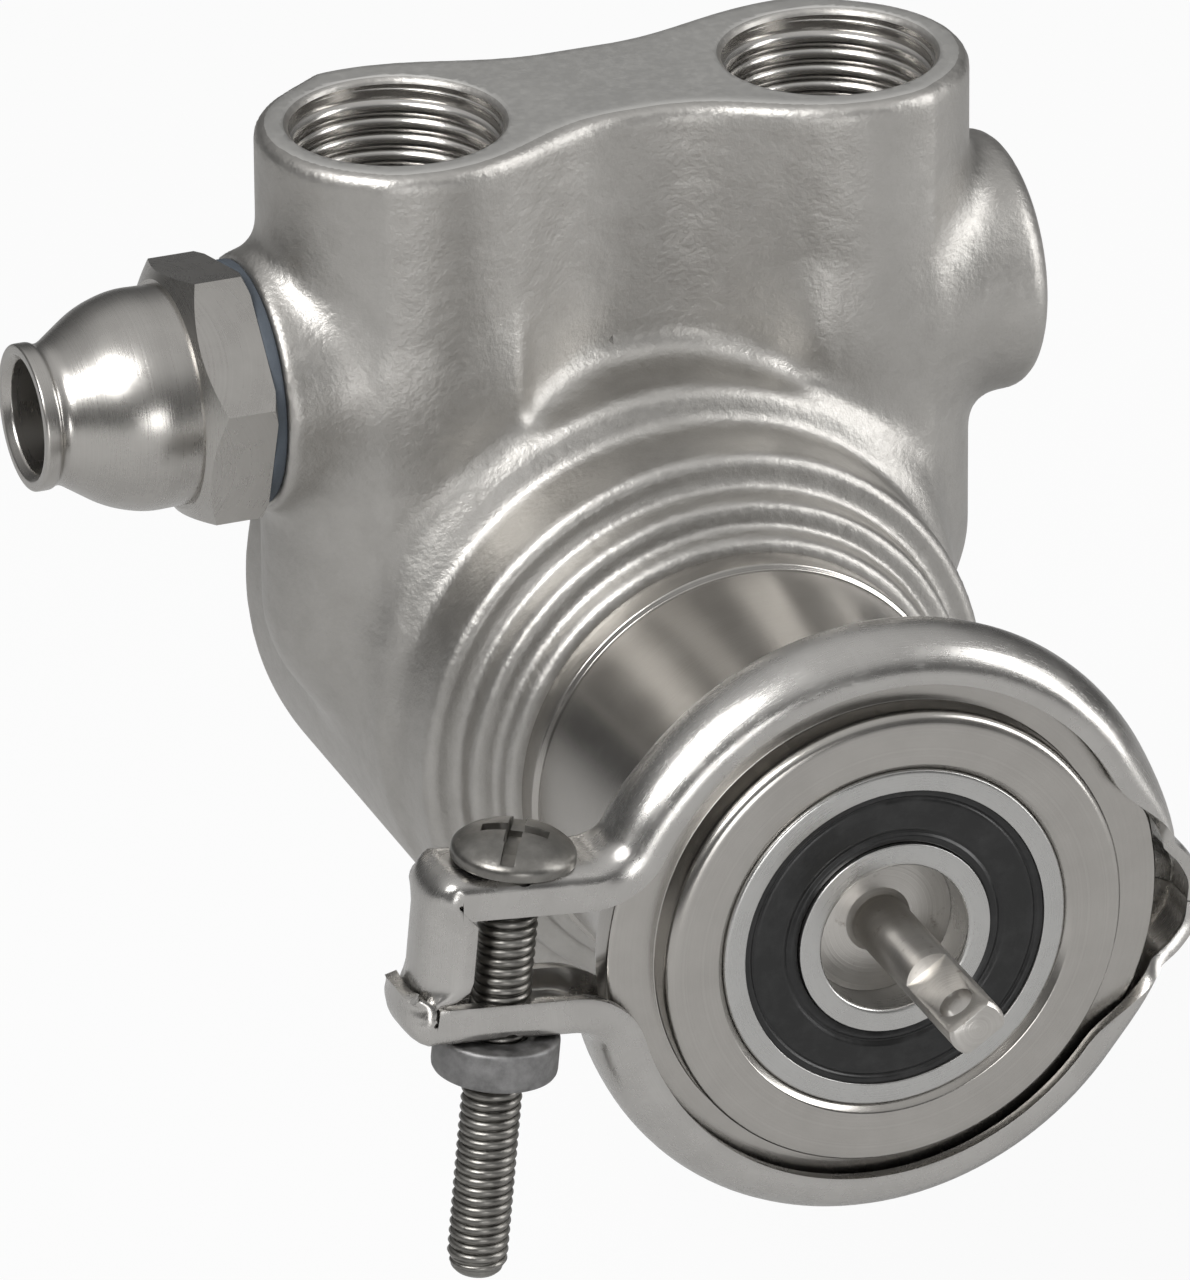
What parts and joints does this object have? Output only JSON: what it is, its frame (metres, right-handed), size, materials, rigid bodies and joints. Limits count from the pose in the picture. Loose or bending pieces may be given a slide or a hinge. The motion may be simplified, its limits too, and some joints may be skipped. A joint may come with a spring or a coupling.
{
  "type": "rotary vane pump",
  "caption": "Clamp-on stainless rotary vane pump with a relief valve, two threaded top ports, a sealed front bearing and a folded sheet-metal flange clamp.",
  "frame": {"origin": "on the pump axis, where the face of the mounting flange meets it", "axes": "+Y along the shaft from the flange to the rear cover, +Z from the shaft up to the two ports, -X towards the relief valve cap"},
  "size_m": [0.1027, 0.1175, 0.0906],
  "materials": {
    "cast_stainless": "bead-blasted satin",
    "turned_stainless": "fine turned satin",
    "bearing_steel": "ground bright",
    "seal_rubber": "dull black",
    "shaft_steel": "turned, lightly tarnished",
    "ceramic": "lapped",
    "carbon": "dense matte",
    "carbon_liner": "dense matte",
    "spring_steel": "drawn wire",
    "cage_brass": "pressed",
    "gasket_fibre": "dull grey-blue",
    "polished_sheet": "polished pressed sheet",
    "screw_steel": "bright drawn steel",
    "nut_steel": "dull machined"
  },
  "bodies": {
    "housing": {"pump_body": "cast_stainless", "bearing_outer_race": "bearing_steel", "bearing_front_seal": "seal_rubber", "bearing_rear_seal": "seal_rubber", "seal_seat": "ceramic", "seal_seat_ring": "seal_rubber", "front_end_plate": "carbon_liner", "liner": "carbon_liner", "rear_end_plate": "carbon_liner", "cartridge_pin": "turned_stainless", "rear_cover": "turned_stainless", "rear_cover_ring": "seal_rubber", "rear_snap_ring": "spring_steel", "relief_cap": "turned_stainless", "relief_cap_gasket": "gasket_fibre", "relief_valve_seat": "turned_stainless", "relief_spring": "spring_steel"},
    "shaft": {"drive_shaft": "shaft_steel", "bearing_inner_race": "bearing_steel", "seal_carbon_face": "carbon", "seal_bellows": "seal_rubber", "seal_spring": "spring_steel", "seal_drive_disc": "turned_stainless", "rotor": "turned_stainless"},
    "cage": {"bearing_cage": "cage_brass", "bearing_balls": "bearing_steel"},
    "vane_one": {"vane_1": "carbon"},
    "vane_two": {"vane_2": "carbon"},
    "vane_three": {"vane_3": "carbon"},
    "vane_four": {"vane_4": "carbon"},
    "poppet": {"relief_poppet": "turned_stainless"},
    "spring_seat": {"relief_spring_seat": "turned_stainless"},
    "adjuster": {"relief_adjuster": "turned_stainless", "relief_adjuster_ring": "seal_rubber"},
    "clamp_upper": {"clamp_upper_band": "polished_sheet"},
    "clamp_lower": {"clamp_lower_band": "polished_sheet"},
    "clamp_screw_body": {"clamp_screw": "screw_steel"},
    "clamp_nut_body": {"clamp_nut": "nut_steel"}
  },
  "joints": [
    {"name": "shaft_spin", "type": "hinge", "parent": "housing", "child": "shaft", "pos_m": [0, 0, 0], "axis": [0, 1, 0], "continuous": true},
    {"name": "cage_spin", "type": "hinge", "parent": "housing", "child": "cage", "pos_m": [0, 0, 0], "axis": [0, 1, 0], "continuous": true},
    {"name": "vane_1_slide", "type": "slide", "parent": "shaft", "child": "vane_one", "axis": [0, 0, 1], "range_m": [-0.0015, 0]},
    {"name": "vane_2_slide", "type": "slide", "parent": "shaft", "child": "vane_two", "axis": [-1, 0, 0], "range_m": [-0.0015, 0]},
    {"name": "vane_3_slide", "type": "slide", "parent": "shaft", "child": "vane_three", "axis": [0, 0, -1], "range_m": [-0.0015, 0]},
    {"name": "vane_4_slide", "type": "slide", "parent": "shaft", "child": "vane_four", "axis": [1, 0, 0], "range_m": [-0.0015, 0]},
    {"name": "poppet_lift", "type": "slide", "parent": "housing", "child": "poppet", "axis": [-1, 0, 0], "range_m": [0, 0.004], "stiffness_N_per_m": 1000, "springref_m": -0.006, "deforming": ["relief_spring"]},
    {"name": "spring_seat_feed", "type": "slide", "parent": "housing", "child": "spring_seat", "axis": [1, 0, 0], "range_m": [0, 0.003], "deforming": ["relief_spring"]},
    {"name": "adjuster_turn", "type": "hinge", "parent": "spring_seat", "child": "adjuster", "pos_m": [-0.0475, 0.0709, 0.034], "axis": [1, 0, 0], "range_deg": [0, 1081]},
    {"name": "clamp_swivel", "type": "hinge", "parent": "housing", "child": "clamp_upper", "pos_m": [0, 0.0031, 0], "axis": [0, 1, 0], "range_deg": [-180, 180]},
    {"name": "clamp_screw_turn", "type": "hinge", "parent": "clamp_upper", "child": "clamp_screw_body", "pos_m": [-0.03782, 0.0031, 0.00371], "axis": [0.0976, 0, 0.9952], "range_deg": [0, 1549]},
    {"name": "clamp_nut_travel", "type": "slide", "parent": "clamp_upper", "child": "clamp_nut_body", "axis": [-0.0976, 0, -0.9952], "range_m": [0, 0.0043]},
    {"name": "clamp_lower_open", "type": "hinge", "parent": "clamp_upper", "child": "clamp_lower", "pos_m": [0.03523, 0.0028, -0.00345], "axis": [0, -1, 0], "range_deg": [0, 2.6]}
  ],
  "couplings": [
    {"joint": "cage_spin", "follows": "shaft_spin", "ratio": 0.382},
    {"joint": "adjuster_turn", "follows": "spring_seat_feed", "rad_per_m": 6283.2},
    {"joint": "clamp_screw_turn", "follows": "clamp_nut_travel", "rad_per_m": 6283.2},
    {"joint": "clamp_lower_open", "follows": "clamp_nut_travel", "rad_per_m": 10.147}
  ]
}
